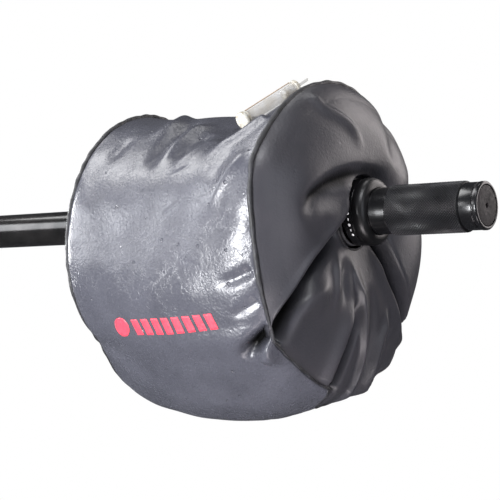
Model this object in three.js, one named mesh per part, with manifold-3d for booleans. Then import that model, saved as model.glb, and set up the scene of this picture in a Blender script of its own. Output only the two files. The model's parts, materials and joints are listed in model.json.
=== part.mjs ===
// Counterweight sandbag on its bar: a drum-shaped vinyl bag of sand threaded on a black
// tube, kept on by a knurled handle with a twist-lock collar.
// Millimetres. X runs along the bar towards the handle, Z is up, and the origin is the
// centre of the bar's flat inner end face.
import * as THREE from "three";
import { mergeVertices } from "three/addons/utils/BufferGeometryUtils.js";
import Module from "manifold-3d";

const manifoldLibrary = await Module();
manifoldLibrary.setup();

// ---- Driving dimensions ----
const GAP = 0.3; // clearance between solids that meet
const AROUND = 36; // facets round a turned metal part
const AROUND_BAG = 36; // facets round the bag

const BAR = { radius: 14, wall: 2, start: 4.3, end: 448, plugFlange: 4, spigot: 22 };

const HANDLE = {
  socketStart: 388.5, // open left end of the core, which holds the collet
  socketEnd: 407,
  collarStart: 397.3,
  neckStart: 403,
  sleeveStart: 420,
  sleeveEnd: 480.2,
  coreEnd: 488.4,
  end: 495,
  bore: 14.3,
  socketBore: 17.2,
  socketRadius: 19.5,
  neckRadius: 17.25,
  sleeveRadius: 18.75,
  sleeveBore: 16.6,
  ferruleRadius: 17.25,
  rimRadius: 17.55,
  discRadius: 14.7,
  ventRadius: 1.75,
};

const COLLAR = { radius: 25.2, indexRadius: 24.9, end: 406.5, round: 6 };
const COLLET = { slots: 4, slotWidth: 1.6, slotDepth: 12, start: 389, end: 406.6 };
const O_RING = { groove: 399, width: 2.4, depthRadius: 18, centre: 18.9, minor: 0.55 };

const BAG = {
  rearRing: 198, // seam planes along the bar
  frontRing: 372,
  rearRadius: 108.5,
  frontRadius: 121.5,
  centre: -22, // the drum hangs this far below the bar's axis
  skin: 1.6,
  seamRadius: 2.4,
  panelEdge: 5, // from the seam's centre in to the end panel's cut edge
  topPull: -13, // how far the wrap's middle sinks at the top
  sideBulge: 5,
  bottomBulge: 20,
  nearFlat: 12, // the front seam is pulled in by this much, low on the -Y side
  frontShift: -2, // the front seam's centre lies this far towards -Y
};

// The skin sinks in round the foot of the filler spout.
const HOLLOW = { x: 320, angle: -0.44, depth: 13.5, alongX: 30, aroundAngle: 0.42 };

const SLEEVE = { centre: -4.6, bore: 19, wall: 1.4, start: 186, end: 385 };
const HEM = { minor: 1.8, radius: 23.2, rear: 187.5, front: 383.5 };
const SPAN = BAG.frontRadius - HEM.radius; // from neck to skin
const FILL = { inset: 5.5, bore: 23.5 };

const SPOUT = {
  base: [318, -49.1, 68.4],
  direction: [0.3, 0.8, 0.52],
  discRadius: 6.9,
  discThickness: 3.4,
  footRadius: 5.2,
  footLength: 5, // from the disc's centre down to the skin
  length: 52,
  radius: 5.6,
  bore: 4.3,
  stopperStem: 11,
  stopperHead: 3.2,
  tabLength: 13,
  tabWidth: 5,
  tabThickness: 1.6,
};

// ---- Finishes ----
const finish = (color, roughness, metalness = 0) =>
  new THREE.MeshStandardMaterial({ color, roughness, metalness });

const MATERIALS = {
  anodised: finish(0x141416, 0.32, 0.9),
  knurl: finish(0x2a2a30, 0.45, 0.9),
  disc: finish(0x47434a, 0.6, 0.7),
  springSteel: finish(0x8a8c90, 0.35, 1),
  rubber: finish(0x101010, 0.8),
  plug: finish(0x1b1b1d, 0.5),
  wrap: finish(0x6f7078, 0.42),
  panel: finish(0x4c4b52, 0.48),
  binding: finish(0x1c1b1f, 0.6),
  lining: finish(0x2a2a2e, 0.7),
  sand: finish(0xb89b6b, 0.95),
  clear: finish(0xdfe6e8, 0.12),
};

const sandbag = new THREE.Group();

// ---- Geometry helpers ----
// Merges shared vertices, and turns the faces round if they point inwards.
function closedSolid(geometry) {
  const bare = geometry.clone();
  bare.deleteAttribute("normal");
  bare.deleteAttribute("uv");
  const solid = mergeVertices(bare, 1e-4);
  if (signedVolume(solid) < 0) {
    const index = solid.getIndex();
    for (let i = 0; i < index.count; i += 3) {
      const second = index.getX(i + 1);
      index.setX(i + 1, index.getX(i + 2));
      index.setX(i + 2, second);
    }
  }
  solid.computeVertexNormals();
  return solid;
}

function signedVolume(geometry) {
  const position = geometry.getAttribute("position");
  const index = geometry.getIndex();
  const [a, b, c] = [new THREE.Vector3(), new THREE.Vector3(), new THREE.Vector3()];
  let volume = 0;
  for (let i = 0; i < index.count; i += 3) {
    a.fromBufferAttribute(position, index.getX(i));
    b.fromBufferAttribute(position, index.getX(i + 1));
    c.fromBufferAttribute(position, index.getX(i + 2));
    volume += a.dot(b.cross(c)) / 6;
  }
  return volume;
}

// Turns a profile of [x along the bar, radius] about the X axis.
function turned(profile, around = AROUND) {
  const points = profile.map(([x, radius]) => new THREE.Vector2(radius, x));
  const geometry = new THREE.LatheGeometry(points, around);
  geometry.rotateZ(-Math.PI / 2);
  return geometry;
}

// A tube is a closed profile: its last point is its first.
function ring(profile, around = AROUND) {
  return turned([...profile, profile[0]], around);
}

function arc(centreX, centreR, radius, from, to, steps) {
  return Array.from({ length: steps + 1 }, (_, i) => {
    const angle = from + ((to - from) * i) / steps;
    return [centreX + radius * Math.cos(angle), centreR + radius * Math.sin(angle)];
  });
}

function moveVertices(geometry, move) {
  const position = geometry.getAttribute("position");
  const point = new THREE.Vector3();
  for (let i = 0; i < position.count; i += 1) {
    point.fromBufferAttribute(position, i);
    move(point);
    position.setXYZ(i, point.x, point.y, point.z);
  }
  return geometry;
}

function add(name, geometry, material, parent = sandbag) {
  const mesh = new THREE.Mesh(closedSolid(geometry), material);
  mesh.name = name;
  parent.add(mesh);
  return mesh;
}

function toManifold(geometry) {
  const solid = closedSolid(geometry);
  const mesh = new manifoldLibrary.Mesh({
    numProp: 3,
    vertProperties: new Float32Array(solid.getAttribute("position").array),
    triVerts: new Uint32Array(solid.getIndex().array),
  });
  return new manifoldLibrary.Manifold(mesh);
}

function fromManifold(solid) {
  const mesh = solid.getMesh();
  const geometry = new THREE.BufferGeometry();
  geometry.setAttribute("position", new THREE.BufferAttribute(mesh.vertProperties, 3));
  geometry.setIndex(new THREE.BufferAttribute(mesh.triVerts, 1));
  return geometry;
}

// ---- Bar ----
function makeBar() {
  const { radius, wall, start, end, plugFlange, spigot } = BAR;
  const bore = radius - wall;
  add("bar_tube", ring([[start, bore], [end, bore], [end, radius], [start, radius]]),
    MATERIALS.anodised);
  const plug = (face, inward) => turned([
    [face, 0],
    [face, radius - 0.6],
    [face + inward * 0.6, radius],
    [face + inward * plugFlange, radius],
    [face + inward * plugFlange, bore - GAP],
    [face + inward * (plugFlange + spigot), bore - GAP],
    [face + inward * (plugFlange + spigot), 0],
  ]);
  add("bar_inner_plug", plug(0, 1), MATERIALS.plug);
  add("bar_outer_plug", plug(end + GAP + plugFlange, -1), MATERIALS.plug);
}

// ---- Handle: core, knurled sleeve, ferrule, end disc, index ring, collet ----
function makeHandleCore() {
  const h = HANDLE;
  const groove = O_RING;
  const threadRadius = h.discRadius + 1;
  add("handle_core", ring([
    [h.socketStart, h.socketBore],
    [h.socketStart, h.socketRadius],
    [groove.groove, h.socketRadius],
    [groove.groove, groove.depthRadius],
    [groove.groove + groove.width, groove.depthRadius],
    [groove.groove + groove.width, h.socketRadius],
    [h.neckStart, h.socketRadius],
    [h.neckStart, h.neckRadius],
    [h.sleeveStart - GAP, h.neckRadius],
    [h.sleeveStart - GAP, h.sleeveBore - GAP],
    [h.sleeveEnd, h.sleeveBore - GAP],
    [h.sleeveEnd, threadRadius],
    [h.coreEnd, threadRadius],
    [h.coreEnd, h.bore],
    [h.socketEnd, h.bore],
    [h.socketEnd, h.socketBore],
  ]), MATERIALS.anodised);
}

function makeKnurledSleeve() {
  const h = HANDLE;
  const chamfer = 0.7;
  add("knurled_sleeve", ring([
    [h.sleeveStart, h.sleeveBore],
    [h.sleeveStart, h.sleeveRadius - chamfer],
    [h.sleeveStart + chamfer, h.sleeveRadius],
    [h.sleeveEnd - chamfer, h.sleeveRadius],
    [h.sleeveEnd, h.sleeveRadius - chamfer],
    [h.sleeveEnd, h.sleeveBore],
  ]), MATERIALS.knurl);
}

function makeEndFerrule() {
  const h = HANDLE;
  const start = h.sleeveEnd + GAP;
  const ledge = h.coreEnd + GAP;
  const seat = ledge + 1.2;
  const rim = h.end - 3.6;
  const edge = 1.3;
  add("end_ferrule", ring([
    [start, h.discRadius + 1 + GAP],
    [start, h.ferruleRadius],
    [rim - 0.5, h.ferruleRadius],
    [rim, h.rimRadius],
    ...arc(h.end - edge, h.rimRadius - edge, edge, Math.PI / 2, 0, 3),
    [h.end, h.discRadius + GAP + 0.3],
    [h.end - 0.3, h.discRadius + GAP],
    [seat, h.discRadius + GAP],
    [seat, h.discRadius - 1.2],
    [ledge, h.discRadius - 1.2],
    [ledge, h.discRadius + 1 + GAP],
  ]), MATERIALS.anodised);
}

function makeEndDisc() {
  const h = HANDLE;
  const back = h.coreEnd + GAP + 1.2 + GAP;
  const face = h.end - 0.35;
  const chamfer = 0.4;
  add("end_cap_disc", ring([
    [back, h.ventRadius],
    [back, h.discRadius],
    [face - chamfer, h.discRadius],
    [face, h.discRadius - chamfer],
    [face, h.ventRadius + chamfer],
    [face - chamfer, h.ventRadius],
  ]), MATERIALS.disc);
}

function makeIndexRing() {
  const h = HANDLE;
  const chamfer = 0.8;
  const end = h.collarStart - GAP;
  add("index_ring", ring([
    [h.socketStart, h.socketRadius + GAP],
    [h.socketStart, COLLAR.indexRadius - chamfer],
    [h.socketStart + chamfer, COLLAR.indexRadius],
    [end, COLLAR.indexRadius],
    [end, h.socketRadius + GAP],
  ]), MATERIALS.anodised);
}

// The collet is a split bush: slots cut from its left end let it close on the bar.
function makeCollet() {
  const bore = HANDLE.bore;
  const outer = HANDLE.socketBore - GAP;
  const bush = toManifold(ring([
    [COLLET.start, bore],
    [COLLET.start, outer - 0.8],
    [COLLET.start + 4, outer],
    [COLLET.end, outer],
    [COLLET.end, bore],
  ]));
  let collet = bush;
  for (let i = 0; i < COLLET.slots; i += 1) {
    const slot = new THREE.BoxGeometry(COLLET.slotDepth * 2, COLLET.slotWidth, outer * 2);
    slot.translate(COLLET.start, 0, outer);
    slot.rotateX(Math.PI / 4 + (i * 2 * Math.PI) / COLLET.slots);
    collet = collet.subtract(toManifold(slot));
  }
  add("collet", fromManifold(collet), MATERIALS.springSteel);
}

function makeCollarORing() {
  const middle = O_RING.groove + O_RING.width / 2;
  add("collar_o_ring", turned(
    arc(middle, O_RING.centre, O_RING.minor, 0, 2 * Math.PI, 6), AROUND), MATERIALS.rubber);
}

// ---- Twist-lock collar: a rounded shoulder, and a lip behind the core's shoulder ----
function makeLockCollar() {
  const h = HANDLE;
  const bore = h.socketRadius + GAP;
  const lipStart = h.neckStart + GAP;
  const lipBore = h.neckRadius + GAP;
  const { radius, end, round } = COLLAR;
  add("lock_collar", ring([
    [h.collarStart, bore],
    [h.collarStart, radius - 0.6],
    [h.collarStart + 0.6, radius],
    ...arc(end - round, radius - round, round, Math.PI / 2, 0, 5),
    [end, lipBore],
    [lipStart, lipBore],
    [lipStart, bore],
  ]), MATERIALS.anodised);
}

// ---- Bag shape: one formula for the skin, the seams and the fill ----
// angle is measured from the top, towards +Y.
function nearLowShare(angle) {
  const fromMiddle = angle + (2 * Math.PI) / 3;
  const offset = Math.abs(Math.atan2(Math.sin(fromMiddle), Math.cos(fromMiddle)));
  const reach = Math.PI / 2.4;
  if (offset >= reach) {
    return 0;
  }
  return 0.5 + 0.5 * Math.cos((Math.PI * offset) / reach);
}

function seamRadius(share, angle) {
  const front = BAG.frontRadius - BAG.nearFlat * nearLowShare(angle);
  return BAG.rearRadius + (front - BAG.rearRadius) * share;
}

function bulge(angle) {
  const level = Math.cos(angle);
  if (level > 0) {
    return BAG.sideBulge + (BAG.topPull - BAG.sideBulge) * level;
  }
  return BAG.sideBulge - (BAG.bottomBulge - BAG.sideBulge) * level;
}

// The drum's radius about its own centre line at x, for a direction from the top.
function drumRadius(x, angle) {
  const share = (x - BAG.rearRing) / (BAG.frontRing - BAG.rearRing);
  const inside = THREE.MathUtils.clamp(share, 0, 1);
  const crown = Math.sin(Math.PI * inside) ** 0.65;
  return seamRadius(inside, angle) + bulge(angle) * crown - hollow(x, angle);
}

function hollow(x, angle) {
  const along = (x - HOLLOW.x) / HOLLOW.alongX;
  const around = (angle - HOLLOW.angle) / HOLLOW.aroundAngle;
  return HOLLOW.depth * Math.exp(-along * along - around * around);
}

function drumShift(x) {
  const share = (x - BAG.rearRing) / (BAG.frontRing - BAG.rearRing);
  return BAG.frontShift * THREE.MathUtils.clamp(share, 0, 1);
}

// Maps a solid turned at unit scale, radius 1 at the neck and 2 at the skin, to the drum:
// its centre line goes from the sleeve's axis at the neck to the drum's axis at the skin.
function drape(geometry, neckRadius, inset = 0) {
  return moveVertices(geometry, (point) => {
    const unit = Math.hypot(point.y, point.z);
    const angle = Math.atan2(point.y, point.z);
    const radius = neckRadius + (drumRadius(point.x, angle) - inset - neckRadius) * (unit - 1);
    const centre = SLEEVE.centre + (BAG.centre - SLEEVE.centre) * (unit - 1);
    point.y = drumShift(point.x) * (unit - 1) + radius * Math.sin(angle);
    point.z = centre + radius * Math.cos(angle);
  });
}

function steps(from, to, count) {
  return Array.from({ length: count + 1 }, (_, i) => from + ((to - from) * i) / count);
}

// ---- Bag pieces ----
function makeWrap() {
  const clear = BAG.seamRadius + GAP;
  const start = BAG.rearRing + clear;
  const end = BAG.frontRing - clear;
  const along = 10;
  const outside = steps(start, end, along).map((x) => [x, 2]);
  const inside = steps(end, start, along).map((x) => [x, 2 - BAG.skin / SPAN]);
  add("wrap_panel", drape(ring([...outside, ...inside], AROUND_BAG), HEM.radius),
    MATERIALS.wrap);
}

// An end panel leaves the seam, swells outwards, and comes back in at the neck.
function makeEndPanel(name, seamX, neckX, swell) {
  const side = Math.sign(neckX - seamX);
  const outerUnit = 2 - BAG.panelEdge / SPAN;
  const innerUnit = 1 + (HEM.minor + 3 * GAP) / SPAN;
  const profile = steps(0, 1, 6).map((share) => {
    const x = seamX + (neckX - seamX) * share + side * swell * Math.sin(Math.PI * share) ** 0.8;
    return [x, outerUnit + (innerUnit - outerUnit) * share];
  });
  const back = profile.map(([x, unit]) => [x - side * BAG.skin, unit]).reverse();
  add(name, drape(ring([...profile, ...back], AROUND_BAG), HEM.radius), MATERIALS.panel);
}

// A seam binding is a cord-thick ring that follows the drum's edge.
function makeBinding(name, x) {
  const nominal = BAG.frontRadius;
  const circle = arc(x, nominal, BAG.seamRadius, 0, 2 * Math.PI, 6);
  const geometry = moveVertices(turned(circle, AROUND_BAG), (point) => {
    const angle = Math.atan2(point.y, point.z);
    const radius = drumRadius(x, angle) + Math.hypot(point.y, point.z) - nominal;
    point.y = drumShift(x) + radius * Math.sin(angle);
    point.z = BAG.centre + radius * Math.cos(angle);
  });
  add(name, geometry, MATERIALS.binding);
}

function makeHem(name, x) {
  const hem = turned(arc(x, HEM.radius, HEM.minor, 0, 2 * Math.PI, 6), AROUND_BAG);
  hem.translate(0, 0, SLEEVE.centre);
  add(name, hem, MATERIALS.binding);
}

function makeInnerSleeve() {
  const { bore, wall, start, end, centre } = SLEEVE;
  const tube = ring([[start, bore], [end, bore], [end, bore + wall], [start, bore + wall]],
    AROUND_BAG);
  tube.translate(0, 0, centre);
  add("inner_sleeve", tube, MATERIALS.lining);
}

function makeSandFill() {
  const start = BAG.rearRing + FILL.inset;
  const end = BAG.frontRing - FILL.inset;
  const outside = steps(start, end, 6).map((x) => [x, 2]);
  const inside = steps(end, start, 2).map((x) => [x, 1]);
  add("sand_fill", drape(ring([...outside, ...inside], AROUND_BAG), FILL.bore, FILL.inset),
    MATERIALS.sand);
}

// ---- Filler spout: built along its own X axis, then pointed up and across the bag ----
// A disc across the tube's foot, on a short stem that stands on the skin.
function makeValveBase(base) {
  const s = SPOUT;
  const disc = turned([
    [-s.discThickness / 2, 0],
    [-s.discThickness / 2, s.discRadius - 0.8],
    [-s.discThickness / 2 + 0.8, s.discRadius],
    [s.discThickness / 2, s.discRadius],
    [s.discThickness / 2, 0],
  ], 18);
  const stem = turned([[0, 0], [0, s.footRadius], [s.footLength, s.footRadius],
    [s.footLength, 0]], 12);
  const inward = new THREE.Vector3(0, -Math.sin(HOLLOW.angle), -Math.cos(HOLLOW.angle));
  inward.applyQuaternion(base.quaternion.clone().invert());
  stem.applyQuaternion(
    new THREE.Quaternion().setFromUnitVectors(new THREE.Vector3(1, 0, 0), inward));
  const behindTube = new THREE.BoxGeometry(40, 40, 40);
  behindTube.translate(s.discThickness / 2 - 20, 0, 0);
  const foot = toManifold(stem).intersect(toManifold(behindTube));
  add("valve_base", fromManifold(toManifold(disc).add(foot)), MATERIALS.clear, base);
}

function makeSpout() {
  const s = SPOUT;
  const base = new THREE.Group();
  base.position.set(...s.base);
  const axis = new THREE.Vector3(...s.direction).normalize();
  base.quaternion.setFromUnitVectors(new THREE.Vector3(1, 0, 0), axis);
  sandbag.add(base);

  makeValveBase(base);

  const start = s.discThickness / 2 + GAP;
  const end = start + s.length;
  add("filler_spout", ring([
    [start, s.bore],
    [end, s.bore],
    [end, s.radius],
    [start, s.radius],
  ], 16), MATERIALS.clear, base);

  const headStart = end + GAP;
  const headEnd = headStart + s.stopperHead;
  const plug = toManifold(turned([
    [end - s.stopperStem, 0],
    [end - s.stopperStem, s.bore - GAP - 0.4],
    [end - s.stopperStem + 1.5, s.bore - GAP],
    [headStart, s.bore - GAP],
    [headStart, s.radius + 0.4],
    [headEnd - 0.6, s.radius + 0.4],
    [headEnd, s.radius - 0.2],
    [headEnd, 0],
  ], 16));
  const tab = new THREE.BoxGeometry(s.tabLength + 1, s.tabWidth, s.tabThickness);
  tab.translate(headEnd + (s.tabLength - 1) / 2, 0, 0);
  add("spout_stopper", fromManifold(plug.add(toManifold(tab))), MATERIALS.clear, base);
}

makeBar();
makeHandleCore();
makeKnurledSleeve();
makeEndFerrule();
makeEndDisc();
makeIndexRing();
makeCollet();
makeCollarORing();
makeLockCollar();
makeWrap();
makeEndPanel("front_end_panel", BAG.frontRing, HEM.front, 12);
makeEndPanel("rear_end_panel", BAG.rearRing, HEM.rear, 10);
makeBinding("front_seam_binding", BAG.frontRing);
makeBinding("rear_seam_binding", BAG.rearRing);
makeHem("front_neck_hem", HEM.front);
makeHem("rear_neck_hem", HEM.rear);
makeInnerSleeve();
makeSandFill();
makeSpout();

export default sandbag;
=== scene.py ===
"""Visual model of a counterweight sandbag on its bar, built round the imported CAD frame.

Lengths are millimetres until a mesh is made, and angles round the bag are measured from
the top, towards +Y, so the side that faces the camera is at negative angles.
"""
import json
import math

import bmesh
import bpy
import numpy as np
from mathutils import Matrix, Vector


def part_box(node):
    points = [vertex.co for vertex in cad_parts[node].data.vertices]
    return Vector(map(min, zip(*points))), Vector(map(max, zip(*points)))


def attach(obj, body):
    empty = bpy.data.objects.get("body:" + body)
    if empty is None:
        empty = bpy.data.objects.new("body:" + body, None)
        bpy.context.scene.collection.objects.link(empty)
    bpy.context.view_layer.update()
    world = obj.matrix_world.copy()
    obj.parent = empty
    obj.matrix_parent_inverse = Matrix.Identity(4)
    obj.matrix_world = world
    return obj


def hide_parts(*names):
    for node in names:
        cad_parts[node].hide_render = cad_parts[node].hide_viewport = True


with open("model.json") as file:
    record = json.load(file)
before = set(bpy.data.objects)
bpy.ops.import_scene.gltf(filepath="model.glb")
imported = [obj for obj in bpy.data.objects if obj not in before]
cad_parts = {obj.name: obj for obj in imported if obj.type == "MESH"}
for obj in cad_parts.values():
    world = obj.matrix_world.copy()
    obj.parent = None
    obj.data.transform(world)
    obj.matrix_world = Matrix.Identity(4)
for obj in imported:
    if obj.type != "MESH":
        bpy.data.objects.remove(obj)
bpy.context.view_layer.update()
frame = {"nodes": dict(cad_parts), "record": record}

X, Z = 0, 2  # places in a (x, y, z) triple
METRES = 0.001
DEG = math.pi / 180


def span(node, axis):
    """Where a CAD node starts and ends along an axis, in millimetres."""
    low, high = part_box(node)
    return low[axis] * 1000, high[axis] * 1000


def middle(node, axis):
    return sum(span(node, axis)) / 2


def half_size(node, axis):
    start, end = span(node, axis)
    return (end - start) / 2


def top(node):
    return span(node, Z)[1]


# ---- Sizes taken from the frame ----
BAR_START, BAR_END = span("bar_tube", X)
BAR_RADIUS = top("bar_tube")
BAR_BORE = BAR_RADIUS - 2
GRIP_START, GRIP_END = span("knurled_sleeve", X)
GRIP_RADIUS = top("knurled_sleeve")
CORE_START, CORE_END = span("handle_core", X)
RING_START, RING_END = span("index_ring", X)
RING_RADIUS = top("index_ring")
COLLAR_START, COLLAR_END = span("lock_collar", X)
COLLAR_RADIUS = top("lock_collar")
FERRULE_START, FERRULE_END = span("end_ferrule", X)
RIM_RADIUS = top("end_ferrule")
DISC_BACK, DISC_FACE = span("end_cap_disc", X)
DISC_RADIUS = top("end_cap_disc")
SLEEVE_START, SLEEVE_END = span("inner_sleeve", X)
SLEEVE_RADIUS = half_size("inner_sleeve", Z)
NECK_CENTRE = middle("inner_sleeve", Z)
REAR_SEAM = middle("rear_seam_binding", X)
FRONT_SEAM = middle("front_seam_binding", X)
DRUM_CENTRE = middle("rear_seam_binding", Z)
DRUM_LENGTH = FRONT_SEAM - REAR_SEAM
FRONT_NECK = middle("front_neck_hem", X)
REAR_NECK = middle("rear_neck_hem", X)
HEM_MINOR = half_size("front_neck_hem", X)
NECK_RADIUS = half_size("front_neck_hem", Z) - HEM_MINOR

GAP = 0.3  # kept between neighbouring solid pieces
AXIS = 0.01  # the radius that stands for the axis in a turned outline
KNURL_DEPTH = 0.8

# ---- Shape of the bag ----
SKIN = 1.2  # the vinyl's thickness
ARC = 115  # millimetres of skin for each radian, used to measure folds on the wrap
FRONT_SHIFT = -2  # how far the bag's front end leans to the near side
# How far the wrap stands past a straight line between its seams, halfway along it.
TOP_PULL = -11
SIDE_BULGE = 5
BOTTOM_BULGE = 24
# How far the wrap swells at its sides close to each seam, and how soon.
REAR_ROLL = (5, 8)
FRONT_ROLL = (5, 18)
ROLL_FADE = 45
# The wide hollow in the top of the wrap, on the near side.
HOLLOW_X = 320
HOLLOW_ANGLE = -0.44
HOLLOW_DEPTH = 13.5
HOLLOW_ALONG = 30
HOLLOW_AROUND = 0.42

# Each seam as (degrees, radius). The front one is full over the top and pulled in low on the
# near side.
FRONT_OUTLINE = [
    (-180, 110.5), (-161, 108), (-150, 107.5), (-137, 110.5), (-127.5, 113.5), (-121, 110),
    (-110, 109.6), (-97, 110.6), (-86, 114), (-76, 120), (-65, 124.3), (-50, 121.5),
    (-20, 120), (15, 118), (40, 113.5), (62, 111.5), (80, 114.2), (92, 115.5), (105, 111),
    (118, 108.5), (127, 109), (133, 115), (140, 117.5), (148, 112.5), (156, 113.5), (166, 109.5),
    (175, 109.5),
]
REAR_OUTLINE = [
    (-180, 110), (-165, 112.5), (-152, 107.5), (-137, 101), (-123, 104.8), (-105, 107.5),
    (-60, 107.5), (0, 108), (60, 108), (120, 108.5), (150, 109),
]


# ---- Curves ----
def full_turn(steps):
    return np.linspace(-math.pi, math.pi, steps, endpoint=False)


def around_x(x, angle, radius, y=0, z=0):
    """Points at an angle and a radius round a line along X."""
    x, angle, radius = np.broadcast_arrays(x, angle, radius)
    return np.stack([x, y + radius * np.sin(angle), z + radius * np.cos(angle)], axis=-1)


def smooth_step(value):
    held = np.clip(value, 0, 1)
    return held * held * (3 - 2 * held)


def hump(value, centre, width):
    """A soft hump, 1 at its centre."""
    return np.exp(-((value - centre) / width) ** 2)


def outline_radius(angle, outline):
    """A smooth closed curve through (degrees, radius) points, by Catmull-Rom."""
    degrees = np.array([point[0] for point in outline], float)
    radii = np.array([point[1] for point in outline], float)
    degrees = np.concatenate([degrees[-2:] - 360, degrees, degrees[:3] + 360])
    radii = np.concatenate([radii[-2:], radii, radii[:3]])
    wrapped = (np.degrees(angle) + 180) % 360 - 180
    before = np.clip(np.searchsorted(degrees, wrapped, side="right") - 1, 1, len(degrees) - 3)
    width = degrees[before + 1] - degrees[before]
    share = (wrapped - degrees[before]) / width
    rise_in = radii[before + 1] - radii[before - 1]
    rise_out = radii[before + 2] - radii[before]
    slope_in = rise_in / (degrees[before + 1] - degrees[before - 1])
    slope_out = rise_out / (degrees[before + 2] - degrees[before])
    square = share * share
    cube = square * share
    return ((2 * cube - 3 * square + 1) * radii[before]
            + (cube - 2 * square + share) * slope_in * width
            + (3 * square - 2 * cube) * radii[before + 1]
            + (cube - square) * slope_out * width)


def smooth_path(points):
    """Points on a smooth curve through a given path, six to each span."""
    path = np.array(points, float)
    ends = np.vstack([2 * path[0] - path[1], path, 2 * path[-1] - path[-2]])
    curve = []
    for i in range(1, len(ends) - 2):
        a, b, c, d = ends[i - 1:i + 3]
        for t in np.linspace(0, 1, 6, endpoint=False):
            curve.append(0.5 * (2 * b + (c - a) * t + (2 * a - 5 * b + 4 * c - d) * t ** 2
                                + (3 * b - a - 3 * c + d) * t ** 3))
    curve.append(path[-1])
    return np.array(curve)


def signed_gap(points, u, v):
    """Distance from a path, positive to the right of its direction, and how far along it the
    nearest point is, from 0 to 1."""
    path = smooth_path(points)
    best = np.full(u.shape, np.inf)
    along = np.zeros(u.shape)
    side = np.ones(u.shape)
    walked = 0
    for start, end in zip(path[:-1], path[1:]):
        length = np.hypot(*(end - start))
        step = (end - start) / length
        forward = (u - start[0]) * step[0] + (v - start[1]) * step[1]
        across = (u - start[0]) * step[1] - (v - start[1]) * step[0]
        held = np.clip(forward, 0, length)
        gap = np.hypot(across, forward - held)
        closer = gap < best
        best = np.where(closer, gap, best)
        along = np.where(closer, walked + held, along)
        side = np.where(closer, np.sign(across), side)
        walked += length
    return best * side, along / walked


def fold(u, v, points, width, height, fade):
    """A soft ridge, or a valley where height is negative, along a path, fading at its ends.
    A pair of widths gives its two sides different slopes, the right-hand side first."""
    gap, along = signed_gap(points, u, v)
    right, left = width if isinstance(width, tuple) else (width, width)
    shape = hump(gap, 0, np.where(gap > 0, right, left))
    if fade[0]:
        shape = shape * smooth_step(along / fade[0])
    if fade[1]:
        shape = shape * smooth_step((1 - along) / fade[1])
    return height * shape


def ripple(u, v, seed, size, waves=14):
    """Smooth random waves of about one wavelength, between about -1 and 1."""
    draw = np.random.default_rng(seed)
    total = np.zeros(np.broadcast(u, v).shape)
    for _ in range(waves):
        direction = draw.uniform(0, 2 * math.pi)
        length = size * draw.uniform(0.7, 1.5)
        phase = draw.uniform(0, 2 * math.pi)
        reach = (u * math.cos(direction) + v * math.sin(direction)) / length
        total = total + np.sin(2 * math.pi * reach + phase)
    return total / math.sqrt(waves)


# ---- The drum's surface ----
def drum_share(x):
    return np.clip((x - REAR_SEAM) / DRUM_LENGTH, 0, 1)


def seam_radius(share, angle):
    rear = outline_radius(angle, REAR_OUTLINE)
    front = outline_radius(angle, FRONT_OUTLINE)
    return rear + (front - rear) * share


def bulge(angle):
    level = np.cos(angle)
    above = SIDE_BULGE + (TOP_PULL - SIDE_BULGE) * level
    below = SIDE_BULGE - (BOTTOM_BULGE - SIDE_BULGE) * level
    return np.where(level > 0, above, below)


# Folds on the wrap: points as x in mm and degrees from the top, width, height, end fades.
# KINK is the sharp dent where the front seam is pinched.
KINK = ([(371.5, -126.5), (364, -128.5), (357, -131), (351, -133.5), (346, -137)],
        5.5, -12, (0, 0.45))
WRAP_FOLDS = [
    ([(238, -4), (248, -20), (250, -32), (246, -44)], 6, 3.4, (0.2, 0.5)),
    ([(262, -14), (266, -28), (266, -42), (267, -57), (270, -68)], 8, -5.5, (0.3, 0.4)),
    ([(290, -24), (283, -37), (282, -48), (280, -56), (275, -64)], 6, 3.6, (0.3, 0.4)),
    ([(300, -36), (296, -46), (292, -54), (288, -62)], 7, -3, (0.3, 0.4)),
    ([(316, -44), (308, -52), (301, -60), (293, -69)], 6, 2.4, (0.2, 0.5)),
    ([(362, -41), (350, -48), (340, -52), (328, -56), (317, -60)], 7, 4.5, (0.1, 0.4)),
    ([(344, -36), (334, -40), (324, -43), (314, -44)], 9, -4, (0.3, 0.3)),
    ([(366, -60), (356, -67), (346, -74), (335, -82)], 5, 2.4, (0.2, 0.4)),
    ([(352, -58), (342, -64), (332, -72)], 7, -2, (0.3, 0.4)),
    ([(316, -75), (304, -79), (292, -82)], 1.4, -0.7, (0.3, 0.3)),
    ([(313, -62), (303, -65), (294, -67)], 1.3, -0.6, (0.3, 0.3)),
    ([(229, -36), (224, -46), (221, -58)], 7, -2, (0.4, 0.4)),
    KINK,
    ([(372, -133), (365, -136), (355, -140)], 9, 7, (0, 0.6)),
    ([(369, -103), (352, -106), (338, -107)], 4.5, -2.4, (0.05, 0.5)),
    ([(370, -114), (356, -117), (344, -118)], 4, -2, (0.05, 0.5)),
    ([(300, 30), (285, 48), (262, 66)], 8, -4, (0.3, 0.4)),
    ([(322, 24), (318, 46), (300, 70)], 6, 3, (0.3, 0.4)),
    ([(345, 20), (348, 44), (352, 70)], 7, -3.5, (0.3, 0.4)),
    ([(272, 14), (258, 30), (236, 44)], 6, 3, (0.3, 0.4)),
    ([(240, 95), (262, 112), (290, 120)], 8, -2.5, (0.3, 0.4)),
    ([(350, 96), (338, 118), (330, 140)], 7, -2.5, (0.3, 0.4)),
]


def wrap_fold(x, angle, points, width, height, fade):
    path = [(along, degrees * DEG * ARC) for along, degrees in points]
    return fold(x, angle * ARC, path, width, height, fade)


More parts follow.
